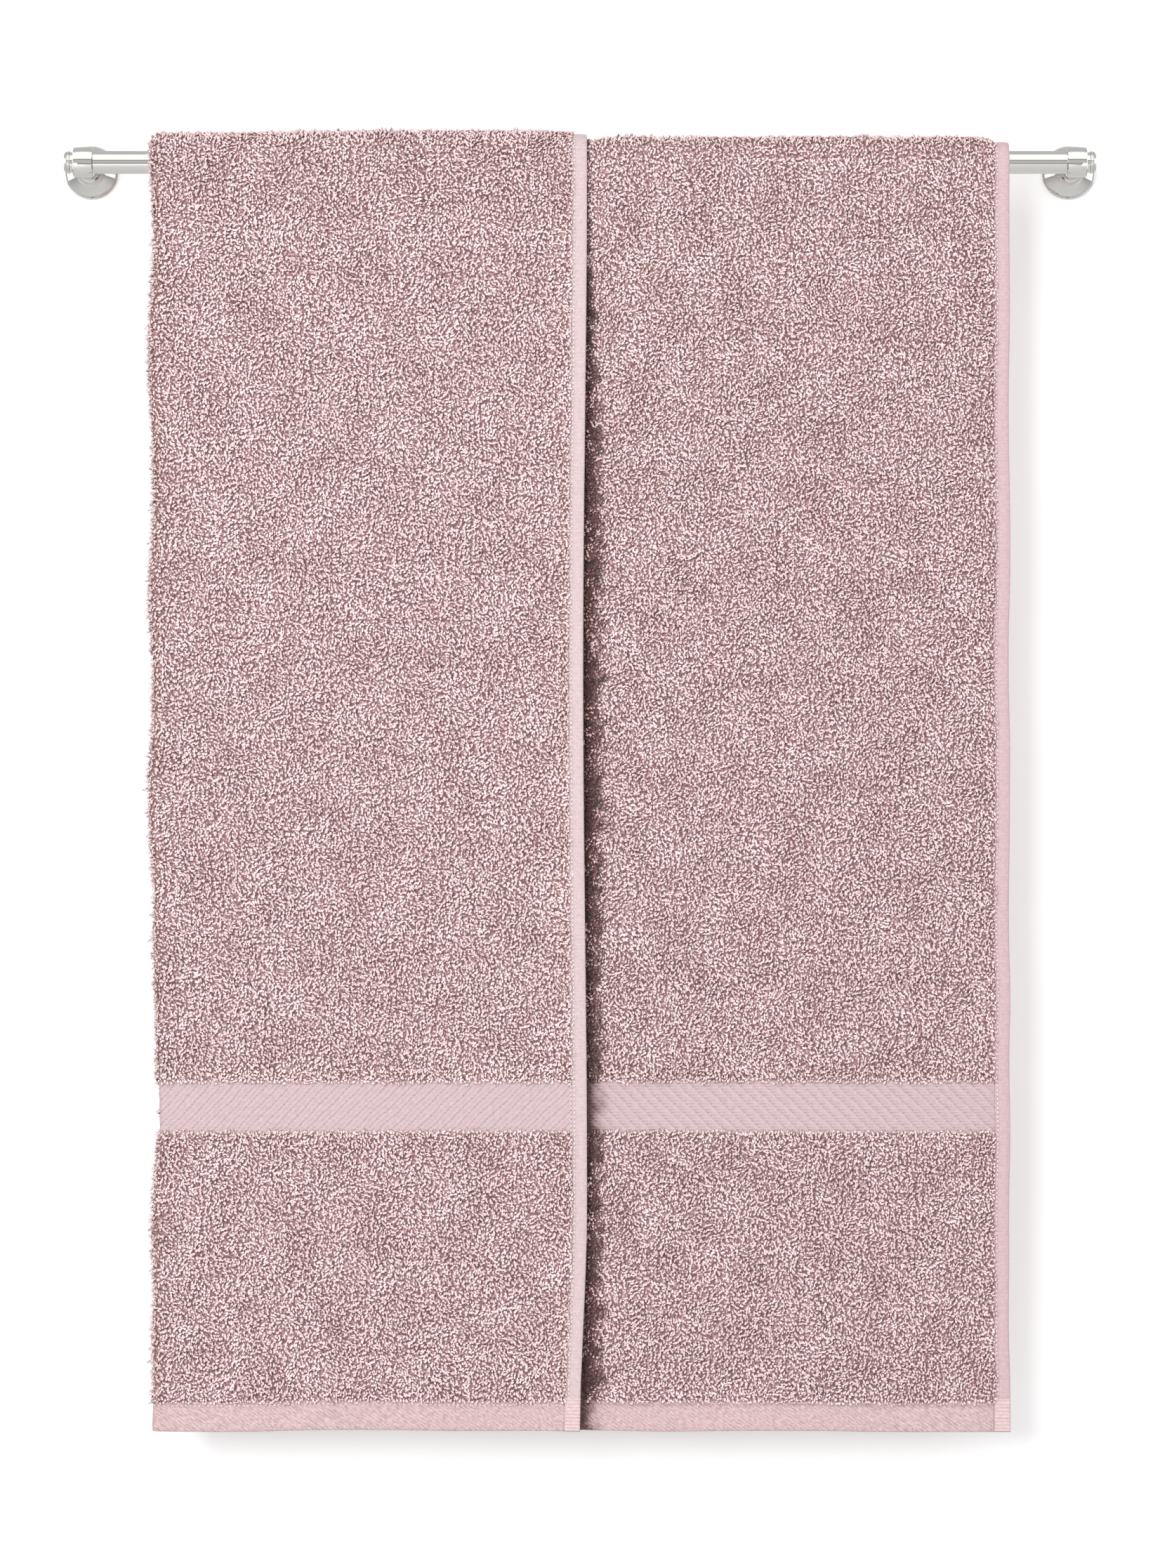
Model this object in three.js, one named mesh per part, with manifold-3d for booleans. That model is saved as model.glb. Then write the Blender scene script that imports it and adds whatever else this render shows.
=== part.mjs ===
// A bath towel folded along its length and hung over a short chromed wall rail.
// Millimetres, +Z up. The origin is on the wall plane, midway between the two
// posts, at the height of the rail's centre line. +X runs along the rail, and
// the room is on the -Y side of the wall.

import * as THREE from 'three';
import { mergeVertices } from 'three/addons/utils/BufferGeometryUtils.js';
import Module from 'manifold-3d';

// ---- driving dimensions, all in millimetres unless a name says degrees ----

const GAP = 0.3; // the clearance kept between neighbouring solids

// the rail and its posts
const RAIL_R = 6.65;
const RAIL_WALL = 1.0;
const STANDOFF = 60; // wall to the rail's centre line
const POST_X = 290; // half the distance between the posts
const COLLAR_WIDTH = 11.7;
const COLLAR_R = 9.0;
const COLLAR_EDGE_R = 8.5;
const NECK_R = 5.5;
const SHOULDER_R = 7.2;
const SHOULDER_DEPTH = 2.4;

// the flange that covers the wall plate
const FLANGE_R = 15.8;
const FLANGE_RIM = 2.6;
const FLANGE_FACE_R = 14.5;
const FLANGE_CROWN_R = 9.0;
const FLANGE_DEPTH = 12.5;
const FLANGE_HOLLOW_R = 12.9;
const CROWN_UNDERSIDE = 9.0;

// the wall plate and the fasteners
const PLATE_R = 12.5;
const PLATE_THICKNESS = 4.0;
const PLATE_EYE_R = 4.4;
const WALL_SCREW_OFFSET = 8.6;
const WALL_SCREW_R = 1.9;
const WALL_SCREW_HEAD_R = 3.6;
const WALL_SCREW_LENGTH = 32;
const POST_SCREW_R = 2.3;
const POST_SCREW_HEAD_R = 4.0;
const POST_SCREW_REACH = 23;
const GRUB_R = 1.25;
const GRUB_LENGTH = 2.6;
const GRUB_DEPTH = 1.9; // wall to the grub screw's axis

// the end caps
const CAP_LENGTH = 5.15;
const CAP_NECK_R = 6.0;
const CAP_BEAD_R = 6.6;
const CAP_TIP_R = 4.9;
const CAP_SPIGOT = 12;

// the towel, cut size 762 x 1473 (30 x 58 inches)
const FLAT_LENGTH = 1473;
const EDGE_LEFT = -250.5; // the lengthwise fold
const EDGE_RIGHT = 250; // the base layer's side hem
const FLAP_EDGE = 3; // the flap's free side hem, over the rail's middle
const SIDE_HEM = 9;
const FRONT_DROP = 740;
const END_HEM = 18;
const BORDER = 30.5;
const BORDER_ABOVE_END = 174;
const PILE_THICKNESS = 5.5; // cloth with the loops on both of its faces
const FLAT_THICKNESS = 2.1; // a hem or a border, which has no loops
const RAIL_CLEARANCE = 0.5;
const LAYER_GAP = 0.4;
const FOLD_THICKNESS = 3.6;

// the part of the cloth that bends when the front drop is pulled away from the wall
const SADDLE_FROM_DEG = 42;
const BEND_FROM_DEG = 1.2;
const BEND_TO_DEG = 39.5;

const ROUND = 48; // sides of a turned part
const SMALL_ROUND = 20; // sides of a fastener

// ---- finishes ----

const chrome = () => new THREE.MeshStandardMaterial({ color: 0xd9dbdd, roughness: 0.08, metalness: 1 });
const steel = () => new THREE.MeshStandardMaterial({ color: 0xa9abac, roughness: 0.35, metalness: 1 });
const terry = () => new THREE.MeshStandardMaterial({ color: 0xcfaab0, roughness: 0.95, metalness: 0 });
const flatWeave = () => new THREE.MeshStandardMaterial({ color: 0xdec4cb, roughness: 0.85, metalness: 0 });

// ---- helpers ----

const wasm = await Module();
wasm.setup();

const model = new THREE.Group();

function add(name, geometry, material, x = 0, y = 0, z = 0) {
  const mesh = new THREE.Mesh(geometry, material);
  mesh.name = name;
  mesh.position.set(x, y, z);
  model.add(mesh);
}

// A closed three.js geometry as a solid that can be joined and cut.
function toSolid(geometry) {
  const plain = geometry.clone();
  plain.deleteAttribute('normal');
  plain.deleteAttribute('uv');
  const merged = mergeVertices(plain, 1e-4);
  return new wasm.Manifold(new wasm.Mesh({
    numProp: 3,
    vertProperties: new Float32Array(merged.attributes.position.array),
    triVerts: new Uint32Array(merged.index.array),
  }));
}

function toGeometry(solid) {
  const { vertProperties, triVerts } = solid.getMesh();
  const geometry = new THREE.BufferGeometry();
  geometry.setAttribute('position', new THREE.BufferAttribute(new Float32Array(vertProperties), 3));
  geometry.setIndex(new THREE.BufferAttribute(new Uint32Array(triVerts), 1));
  geometry.computeVertexNormals();
  return geometry;
}

// A turned part about Y. The profile is [radius, distance along Y] with the
// distance rising along the outside of the part.
function turned(profile, sides = ROUND) {
  return new THREE.LatheGeometry(profile.map(([r, y]) => new THREE.Vector2(r, y)), sides);
}

// The same, with its axis along +X.
const turnedAlongX = (profile, sides) => turned(profile, sides).rotateZ(-Math.PI / 2);

// The same, with its axis pointing out of the wall, along -Y.
const turnedFromWall = (profile, sides) => turned(profile, sides).rotateX(Math.PI);

// A closed ring in profile, such as a tube or a bell.
const ringed = (profile) => [...profile, profile[0]];

const rod = (radius, from, to) => [[0, from], [radius, from], [radius, to], [0, to]];

// ---- the rail ----

function railTube() {
  const half = POST_X + COLLAR_WIDTH / 2;
  const bore = RAIL_R - RAIL_WALL;
  return turnedAlongX(ringed([[bore, -half], [RAIL_R, -half], [RAIL_R, half], [bore, half]]));
}

// A turned cap with one raised bead, a tapered tip and a spigot that fits the tube.
function endCap() {
  const start = COLLAR_WIDTH / 2 + GAP;
  const spigot = RAIL_R - RAIL_WALL - GAP;
  return turnedAlongX([
    [0, start - CAP_SPIGOT],
    [spigot, start - CAP_SPIGOT],
    [spigot, start],
    [CAP_NECK_R, start],
    [CAP_NECK_R, start + 1.4],
    [CAP_BEAD_R - 0.2, start + 1.7],
    [CAP_BEAD_R, start + 2.4],
    [CAP_BEAD_R - 0.2, start + 3.1],
    [CAP_BEAD_R - 0.6, start + 3.3],
    [CAP_BEAD_R - 0.3, start + 3.6],
    [CAP_BEAD_R - 0.7, start + 4.4],
    [CAP_TIP_R, start + CAP_LENGTH],
    [0, start + CAP_LENGTH],
  ]);
}

// A barrel-shaped collar on a round neck, bored for the rail and drilled for the post screw.
function post() {
  const half = COLLAR_WIDTH / 2;
  const foot = FLANGE_DEPTH + GAP;
  const collar = toSolid(turnedAlongX([
    [0, -half],
    [COLLAR_EDGE_R, -half],
    [COLLAR_R - 0.12, -half / 2],
    [COLLAR_R, 0],
    [COLLAR_R - 0.12, half / 2],
    [COLLAR_EDGE_R, half],
    [0, half],
  ]).translate(0, -STANDOFF, 0));
  const neck = toSolid(turnedFromWall([
    [0, foot],
    [SHOULDER_R - 0.5, foot],
    [SHOULDER_R, foot + SHOULDER_DEPTH * 0.3],
    [SHOULDER_R, foot + SHOULDER_DEPTH * 0.7],
    [NECK_R + 0.4, foot + SHOULDER_DEPTH],
    [NECK_R, foot + SHOULDER_DEPTH * 2],
    [NECK_R, STANDOFF - COLLAR_R * 0.5],
    [0, STANDOFF - COLLAR_R * 0.5],
  ]));
  const bore = toSolid(turnedAlongX(rod(RAIL_R + GAP, -COLLAR_WIDTH, COLLAR_WIDTH)).translate(0, -STANDOFF, 0));
  const tapped = toSolid(turnedFromWall(rod(POST_SCREW_R + GAP, 0, POST_SCREW_REACH + 1), SMALL_ROUND));
  return toGeometry(collar.add(neck).subtract(bore).subtract(tapped));
}

// A thin bell: a rim on the wall, a groove, a hollow-curved face and a flat crown.
function flange() {
  const face = [];
  const steps = 8;
  for (let i = 0; i <= steps; i += 1) {
    const t = i / steps;
    const depth = FLANGE_RIM + 0.6 + t * (FLANGE_DEPTH - FLANGE_RIM - 2.6);
    const ease = t + 0.35 * t * (1 - t);
    face.push([FLANGE_FACE_R + (FLANGE_CROWN_R + 0.3 - FLANGE_FACE_R) * ease, depth]);
  }
  const bell = toSolid(turnedFromWall(ringed([
    [FLANGE_HOLLOW_R, 0],
    [FLANGE_R, 0],
    [FLANGE_R, FLANGE_RIM - 0.5],
    [FLANGE_R - 0.5, FLANGE_RIM],
    ...face,
    [FLANGE_CROWN_R, FLANGE_DEPTH - 1.6],
    [FLANGE_CROWN_R, FLANGE_DEPTH - 0.4],
    [FLANGE_CROWN_R - 0.4, FLANGE_DEPTH],
    [POST_SCREW_R + GAP, FLANGE_DEPTH],
    [POST_SCREW_R + GAP, CROWN_UNDERSIDE],
    [FLANGE_CROWN_R - 3, CROWN_UNDERSIDE],
    [FLANGE_HOLLOW_R, PLATE_THICKNESS + 0.6],
  ])));
  const grubHole = toSolid(new THREE.CylinderGeometry(GRUB_R + GAP, GRUB_R + GAP, 6, SMALL_ROUND)
    .rotateX(Math.PI / 2)
    .translate(0, -GRUB_DEPTH, -(FLANGE_HOLLOW_R + FLANGE_R) / 2));
  return toGeometry(bell.subtract(grubHole));
}

function wallPlate() {
  let plate = toSolid(turnedFromWall(ringed([
    [PLATE_EYE_R, 0],
    [PLATE_R, 0],
    [PLATE_R, PLATE_THICKNESS],
    [PLATE_EYE_R, PLATE_THICKNESS],
  ])));
  for (const side of [-1, 1]) {
    const hole = turnedFromWall([
      [0, -1],
      [WALL_SCREW_R + GAP, -1],
      [WALL_SCREW_R + GAP, PLATE_THICKNESS - 1.9],
      [WALL_SCREW_HEAD_R + GAP, PLATE_THICKNESS],
      [WALL_SCREW_HEAD_R + GAP, PLATE_THICKNESS + 1],
      [0, PLATE_THICKNESS + 1],
    ], SMALL_ROUND);
    plate = plate.subtract(toSolid(hole.translate(0, 0, side * WALL_SCREW_OFFSET)));
  }
  return toGeometry(plate);
}

// A countersunk wood screw: its point is in the wall, on the +Y side.
function wallScrew() {
  const head = PLATE_THICKNESS - 0.1;
  return turnedFromWall([
    [0, head - WALL_SCREW_LENGTH],
    [WALL_SCREW_R, head - WALL_SCREW_LENGTH + 5],
    [WALL_SCREW_R, head - 1.8],
    [WALL_SCREW_HEAD_R, head],
    [WALL_SCREW_HEAD_R * 0.4, head],
    [0, head - 1.2],
  ], SMALL_ROUND);
}

// A round-headed screw that clamps the flange to the post from behind.
function postScrew() {
  const seat = CROWN_UNDERSIDE - GAP;
  return turnedFromWall([
    [0, seat - 1.6],
    [1.2, seat - 3.3],
    [POST_SCREW_HEAD_R, seat - 3.3],
    [POST_SCREW_HEAD_R, seat],
    [POST_SCREW_R, seat],
    [POST_SCREW_R, POST_SCREW_REACH],
    [0, POST_SCREW_REACH],
  ], SMALL_ROUND);
}

// A socket set screw in the flange's lowest point, which bears on the plate's edge.
function grubScrew() {
  const tip = PLATE_R + GAP;
  return turned([
    [0, -tip - GRUB_LENGTH + 1],
    [0.6, -tip - GRUB_LENGTH],
    [GRUB_R, -tip - GRUB_LENGTH],
    [GRUB_R, -tip],
    [0, -tip],
  ], SMALL_ROUND).rotateX(Math.PI / 2);
}

add('rail_tube', railTube(), chrome(), 0, -STANDOFF, 0);
for (const [side, sign] of [['left', -1], ['right', 1]]) {
  const x = sign * POST_X;
  const cap = endCap();
  if (sign < 0) cap.rotateZ(Math.PI);
  add(`${side}_end_cap`, cap, chrome(), x, -STANDOFF, 0);
  add(`${side}_post`, post(), chrome(), x);
  add(`${side}_flange`, flange(), chrome(), x);
  add(`${side}_wall_plate`, wallPlate(), steel(), x);
  add(`${side}_post_screw`, postScrew(), steel(), x);
  add(`${side}_grub_screw`, grubScrew(), steel(), x, -GRUB_DEPTH);
  add(`${side}_upper_wall_screw`, wallScrew(), steel(), x, 0, WALL_SCREW_OFFSET);
  add(`${side}_lower_wall_screw`, wallScrew(), steel(), x, 0, -WALL_SCREW_OFFSET);
}

// ---- the towel ----

// Each layer of cloth is held by its distance from the rail's centre line: the
// base layer lies on the rail and the flap lies on the base layer.
const BASE_IN = RAIL_R + RAIL_CLEARANCE;
const BASE_OUT = BASE_IN + PILE_THICKNESS;
const FLAP_IN = BASE_OUT + LAYER_GAP;
const FLAP_OUT = FLAP_IN + PILE_THICKNESS;

const PILE_LEFT = EDGE_LEFT + FOLD_THICKNESS + GAP;

function layer(name, inner, outer, hemEdge) {
  const middle = (inner + outer) / 2 + 0.9; // the woven ground, nearer the face than the rail
  return {
    name,
    pile: { r: [inner, outer], x: [PILE_LEFT, hemEdge - SIDE_HEM - GAP], make: terry },
    flat: {
      r: [middle - FLAT_THICKNESS / 2, middle + FLAT_THICKNESS / 2],
      x: [PILE_LEFT, hemEdge - SIDE_HEM - GAP],
      make: flatWeave,
    },
    sideHem: {
      r: [middle - FLAT_THICKNESS / 2, middle + FLAT_THICKNESS / 2],
      x: [hemEdge - SIDE_HEM, hemEdge],
      make: flatWeave,
    },
    backDrop: FLAT_LENGTH - FRONT_DROP - Math.PI * middle,
  };
}

const base = layer('base', BASE_IN, BASE_OUT, EDGE_RIGHT);
const flap = layer('flap', FLAP_IN, FLAP_OUT, FLAP_EDGE);
const fold = { r: [BASE_IN, FLAP_OUT], x: [EDGE_LEFT, EDGE_LEFT + FOLD_THICKNESS], make: terry };

// A flat panel that hangs in front of the rail (face 1) or behind it (face -1).
function panel(name, zone, face, top, bottom) {
  const [x0, x1] = zone.x;
  const [r0, r1] = zone.r;
  const geometry = new THREE.BoxGeometry(x1 - x0, r1 - r0, top - bottom);
  const y = -STANDOFF - face * (r0 + r1) / 2;
  add(name, geometry, zone.make(), (x0 + x1) / 2, y, (top + bottom) / 2);
}

// Cloth bent round the rail, from one angle to another: 0 is the front, 90 the
// top and 180 the back.
function arch(name, zone, fromDeg, toDeg) {
  const [x0, x1] = zone.x;
  const [r0, r1] = zone.r;
  const from = THREE.MathUtils.degToRad(fromDeg);
  const to = THREE.MathUtils.degToRad(toDeg);
  const section = new THREE.Shape();
  section.absarc(0, 0, r1, from, to, false);
  section.absarc(0, 0, r0, to, from, true);
  section.closePath();
  const steps = Math.ceil((toDeg - fromDeg) / 16);
  const geometry = new THREE.ExtrudeGeometry(section, {
    depth: x1 - x0,
    bevelEnabled: false,
    curveSegments: steps,
  });
  // the section's x is towards the room, its y is up, and it is drawn out along -X
  geometry.applyMatrix4(new THREE.Matrix4().makeBasis(
    new THREE.Vector3(0, -1, 0),
    new THREE.Vector3(0, 0, 1),
    new THREE.Vector3(-1, 0, 0),
  ));
  add(name, geometry, zone.make(), x1, -STANDOFF, 0);
}

// One strip of cloth from end to end: a front panel, the bend, the saddle and a back panel.
function strip(name, zone, frontBottom, backBottom) {
  panel(`${name}_front`, zone, 1, -GAP / 2, -frontBottom);
  arch(`${name}_bend`, zone, BEND_FROM_DEG, BEND_TO_DEG);
  arch(`${name}_saddle`, zone, SADDLE_FROM_DEG, 180);
  panel(`${name}_back`, zone, -1, -GAP, -backBottom);
}

// The panels below a layer's main pile field: the woven border, the pile tail and the end hem.
function lowerPanels(cloth, place, face, drop) {
  const borderBottom = drop - BORDER_ABOVE_END;
  const borderTop = borderBottom - BORDER;
  const hemTop = drop - END_HEM;
  panel(`${cloth.name}_${place}_border`, cloth.flat, face, -borderTop - GAP, -borderBottom);
  panel(`${cloth.name}_${place}_tail`, cloth.pile, face, -borderBottom - GAP, -hemTop);
  panel(`${cloth.name}_${place}_end_hem`, cloth.flat, face, -hemTop - GAP, -drop);
  return borderTop;
}

for (const cloth of [base, flap]) {
  const frontField = lowerPanels(cloth, 'front', 1, FRONT_DROP);
  const backField = lowerPanels(cloth, 'back', -1, cloth.backDrop);
  strip(`${cloth.name}_pile`, cloth.pile, frontField, backField);
  strip(`${cloth.name}_side_hem`, cloth.sideHem, FRONT_DROP, cloth.backDrop);
}
strip('left_fold', fold, FRONT_DROP, flap.backDrop);

export default model;
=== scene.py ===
"""A terry bath towel, folded once along its length and hung over a chromed wall rail."""
from functools import partial
from math import cos, degrees, pi, radians, sin

import bmesh
import bpy
import numpy as np
from bpy.props import FloatProperty, FloatVectorProperty, IntProperty, PointerProperty
from mathutils import Matrix, Vector


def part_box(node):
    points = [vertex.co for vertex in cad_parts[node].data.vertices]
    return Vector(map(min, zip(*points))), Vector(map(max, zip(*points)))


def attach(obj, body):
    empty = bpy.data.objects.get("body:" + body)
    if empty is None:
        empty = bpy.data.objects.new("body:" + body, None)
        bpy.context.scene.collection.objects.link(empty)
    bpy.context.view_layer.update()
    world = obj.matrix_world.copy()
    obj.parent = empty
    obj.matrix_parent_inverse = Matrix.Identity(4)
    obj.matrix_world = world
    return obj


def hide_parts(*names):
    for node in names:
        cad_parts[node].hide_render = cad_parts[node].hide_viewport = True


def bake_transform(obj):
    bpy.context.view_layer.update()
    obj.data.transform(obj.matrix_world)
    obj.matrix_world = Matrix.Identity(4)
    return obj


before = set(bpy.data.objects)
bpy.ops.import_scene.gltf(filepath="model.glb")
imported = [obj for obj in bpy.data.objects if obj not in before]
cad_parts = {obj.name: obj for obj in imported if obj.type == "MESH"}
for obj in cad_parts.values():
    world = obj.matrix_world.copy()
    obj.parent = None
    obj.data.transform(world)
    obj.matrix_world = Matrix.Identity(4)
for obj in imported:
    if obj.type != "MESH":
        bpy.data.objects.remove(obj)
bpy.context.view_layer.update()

bl_info = {
    "name": "Bath towel on a wall rail",
    "version": (1, 0, 0),
    "blender": (4, 5, 0),
    "location": "View3D > Sidebar > Towel",
    "description": "Builds a folded terry towel, its rail and a plain studio around a fixed frame",
    "category": "Add Mesh",
}

# ---- measures taken from the frame, in millimetres ----

MM = 0.001


def corners(node):
    """The lowest and highest corner of a CAD node, in millimetres."""
    low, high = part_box(node)
    return [v / MM for v in low], [v / MM for v in high]


def ground_radius(box):
    """How far the middle of a flat front zone of the cloth lies from the rail's centre line."""
    return -(box[0][1] + box[1][1]) / 2 - STANDOFF


RAIL, POST, FLANGE, CAP = map(corners, ("rail_tube", "right_post", "right_flange", "right_end_cap"))
SIDE, FLAP_SIDE, FOLD = map(corners, ("base_side_hem_front", "flap_side_hem_front", "left_fold_front"))
END, BACK_END = map(corners, ("base_front_end_hem", "base_back_end_hem"))
BORDER, BACK_BORDER = map(corners, ("base_front_border", "base_back_border"))
RAIL_HALF = RAIL[1][0]
RAIL_R = (RAIL[1][2] - RAIL[0][2]) / 2
STANDOFF = -(RAIL[1][1] + RAIL[0][1]) / 2  # from the wall to the rail's centre line
POST_X = (POST[0][0] + POST[1][0]) / 2
COLLAR_HALF = RAIL_HALF - POST_X
COLLAR_R = POST[1][2]
FLANGE_DEPTH = -FLANGE[0][1]
FLANGE_R = FLANGE[1][2]
CAP_END = CAP[1][0]

BASE_R = ground_radius(BORDER)
FLAP_R = ground_radius(corners("flap_front_border"))
OVER_BASE = pi * BASE_R
OVER_FLAP = pi * FLAP_R
EDGE_RIGHT = SIDE[1][0]
EDGE_FLAP = FLAP_SIDE[1][0]
EDGE_FOLD = FOLD[0][0]
SIDE_HEM = EDGE_RIGHT - SIDE[0][0]
END_FRONT, HEM_FRONT = END[0][2], END[1][2]
BORDER_FRONT = (BORDER[0][2], BORDER[1][2])
END_BACK, HEM_BACK = OVER_BASE - BACK_END[0][2], OVER_BASE - BACK_END[1][2]
BORDER_BACK = (OVER_BASE - BACK_BORDER[1][2], OVER_BASE - BACK_BORDER[0][2])

# ---- the cloth as it lies flat ----
# A point of the cloth has two numbers. "across" runs from the right-hand edge over the base layer, round
# the fold, and back over the flap to the flap's free edge. "along" is the height on the front drop, then
# the way over the rail, and then the way down the back.

PILE_PROUD = 2.6  # how far the loops stand out from the fold's ground
TURN_R = (FLAP_R - BASE_R) / 2
TURN_MIDDLE_R = (FLAP_R + BASE_R) / 2
TURN_X = EDGE_FOLD + TURN_R + PILE_PROUD
TURN_START = EDGE_RIGHT - TURN_X
TURN_END = TURN_START + pi * TURN_R
ACROSS_END = TURN_END + EDGE_FLAP - TURN_X
SEAM_IN = 7.2  # from a side hem's edge to its seam
END_SEAM_IN = 15.2  # from an end hem's edge to its seam
BACK_APART = 900  # sets the back drop's waves apart from the front's


def sizes():
    return bpy.context.scene.towel_sizes


def colours():
    return bpy.context.scene.towel_colours


def smooth(value, start, end):
    """0 before start, 1 after end, and an even S between them."""
    t = np.clip((value - start) / (end - start), 0, 1)
    return t * t * (3 - 2 * t)


def slow_waves(seed, wavelength, count=9):
    """A seeded, smooth field of about -1 to 1 over two coordinates, with hills about a wavelength apart."""
    rng = np.random.default_rng(seed)
    angles = rng.uniform(0, 2 * pi, count)
    phases = rng.uniform(0, 2 * pi, count)
    numbers = 2 * pi / (wavelength * rng.uniform(0.7, 1.5, count))

    def field(a, b):
        total = 0
        for angle, phase, number in zip(angles, phases, numbers):
            total = total + np.cos(number * (a * cos(angle) + b * sin(angle)) + phase)
        return np.tanh(total / (count / 2) ** 0.5 * 0.8)

    return field


DROP_WAVES = slow_waves(11, 230)
EDGE_WAVES = slow_waves(12, 90)
HEM_WAVES = slow_waves(13, 150)
LIFT_WAVES = slow_waves(14, 160)
SHADOW_EDGE = slow_waves(15, 11)
PUCKERS = slow_waves(21, 16)
TUFTS = slow_waves(31, 42)
SWIRL = slow_waves(32, 26)
PATCHES = slow_waves(33, 38)


def cloth_point(across, along, height):
    """The place, in millimetres, of a point at a height above the ground's middle.

    A positive height is on the face that looks out on the base layer and in on the flap.
    """
    across, along, height = np.broadcast_arrays(*(np.asarray(v, float) for v in (across, along, height)))
    turn = np.clip((across - TURN_START) / TURN_R, 0, pi)
    on_flap = smooth(turn, 0, pi)
    layer_r = TURN_MIDDLE_R - TURN_R * np.cos(turn)
    x = np.where(across < TURN_START, EDGE_RIGHT - across, TURN_X - TURN_R * np.sin(turn))
    x = np.where(across > TURN_END, TURN_X + across - TURN_END, x)
    x = x + height * np.sin(turn)

    angle = np.clip(along / layer_r, 0, pi)
    over = pi * layer_r
    z = np.where(along < 0, along, np.minimum(over - along, 0))
    down = -z
    radius = layer_r + height * np.cos(turn)
    # The flap's free edge sinks in over the rail and stands away on the drop.
    lift = sizes().edge_lift * (0.75 + 0.25 * LIFT_WAVES(x * 0, z)) * smooth(down, 0, 60)
    at_flap_edge = sizes().edge_press * (1 - smooth(down, 0, 40))
    radius = radius + (lift - at_flap_edge) * smooth(x, EDGE_FLAP - 34, EDGE_FLAP + 1) * on_flap
    # The single layer swells between the flap's edge and its own hem, most of all over the rail.
    swell = smooth(x, EDGE_FLAP + 4, EDGE_FLAP + 16) * smooth(-x, 8 - EDGE_RIGHT, 20 - EDGE_RIGHT)
    radius = radius + swell * (1 - on_flap) * sizes().puff * (1 - 0.7 * smooth(down, 0, 70))
    # The flap is drawn tight over the rail near the fold, and slow waves run down both drops.
    radius = radius - 1.6 * on_flap * smooth(-x, 110, 240) * (1 - smooth(down, 0, 60))
    waves = DROP_WAVES(x, z + np.where(along < over / 2, 0, BACK_APART))
    radius = radius + sizes().drop_wave * (0.5 + 0.5 * waves) * smooth(down, 20, 320)
    # The flap's edge, the fold and the right-hand hem each wander a little from a straight line.
    x = x + on_flap * smooth(x, -60, EDGE_FLAP) * (1.1 * np.cos(z / 95) - 3.2 * smooth(down, 610, 740))
    drawn_in = 3.3 * (smooth(down, 380, 540) - smooth(down, 580, 690)) - 0.8 * smooth(down, 690, 740)
    x = x + (1.5 * EDGE_WAVES(x * 0, z) + drawn_in) * smooth(-x, 150, 250)
    x = x + 0.5 * EDGE_WAVES(x * 0 + 400, z) * smooth(x, 150, 250)
    # The ends hang a little unevenly.
    fall = (0.8 * HEM_WAVES(x, 0 * x) + 1.2 * smooth(-x, -60, 20)) * smooth(down, 500, 700)
    return np.stack([x, -STANDOFF - radius * np.cos(angle), radius * np.sin(angle) + z + fall], axis=-1)


def flap_edge_painted_shadow(across, along, reach=1.0, soft=3.0):
    """The painted shadow beside the flap's edge: 1 where the base layer lies in the flap's shadow, and 0 away
    from it.
    """
    down = np.maximum(-along, along - OVER_BASE)
    width = 1.5 + 8.5 * smooth(down, 30, 170) * reach + 2.2 * SHADOW_EDGE(across, along)
    from_edge = EDGE_RIGHT - across - EDGE_FLAP
    near_edge = smooth(width - from_edge, -soft, soft) * smooth(from_edge, -20, -8)
    return near_edge * (1 - smooth(along, HEM_BACK - 12, HEM_BACK - 2))


# ---- colours and materials ----


def linear(code):
    """An sRGB hex colour as linear red, green, blue and a full alpha."""
    channels = [int(code[i:i + 2], 16) / 255 for i in (1, 3, 5)]
    return (*(c / 12.92 if c <= 0.04045 else ((c + 0.055) / 1.055) ** 2.4 for c in channels), 1.0)


def colour(code, description):
    """A colour property with its default given as sRGB hex."""
    return FloatVectorProperty(description=description, subtype="COLOR", size=4, min=0, max=1,
                               default=linear(code))


def millimetres(default, description):
    """A length property in millimetres."""
    return FloatProperty(description=f"{description}, in millimetres", default=default, min=0, max=1000)


def add_node(tree, kind, *inputs, named=None, output=None, **settings):
    """Adds a node and gives back one of its outputs, the first where none is named.

    Inputs fill its sockets in order, and named ones by name, with values or with other nodes' outputs.
    """
    made = tree.nodes.new("ShaderNode" + kind)
    for name, value in settings.items():
        setattr(made, name, value)
    sockets = [socket for socket in made.inputs if socket.enabled]
    by_name = [(made.inputs[name], value) for name, value in (named or {}).items()]
    for socket, value in [*zip(sockets, inputs), *by_name]:
        if isinstance(value, bpy.types.NodeSocket):
            tree.links.new(value, socket)
        else:
            socket.default_value = value
    outputs = [socket for socket in made.outputs if socket.enabled and output in (None, socket.name)]
    return outputs[0] if outputs else None


COTTON = {"Roughness": 0.92, "IOR": 1.5, "Specular IOR Level": 0.15}


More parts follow.
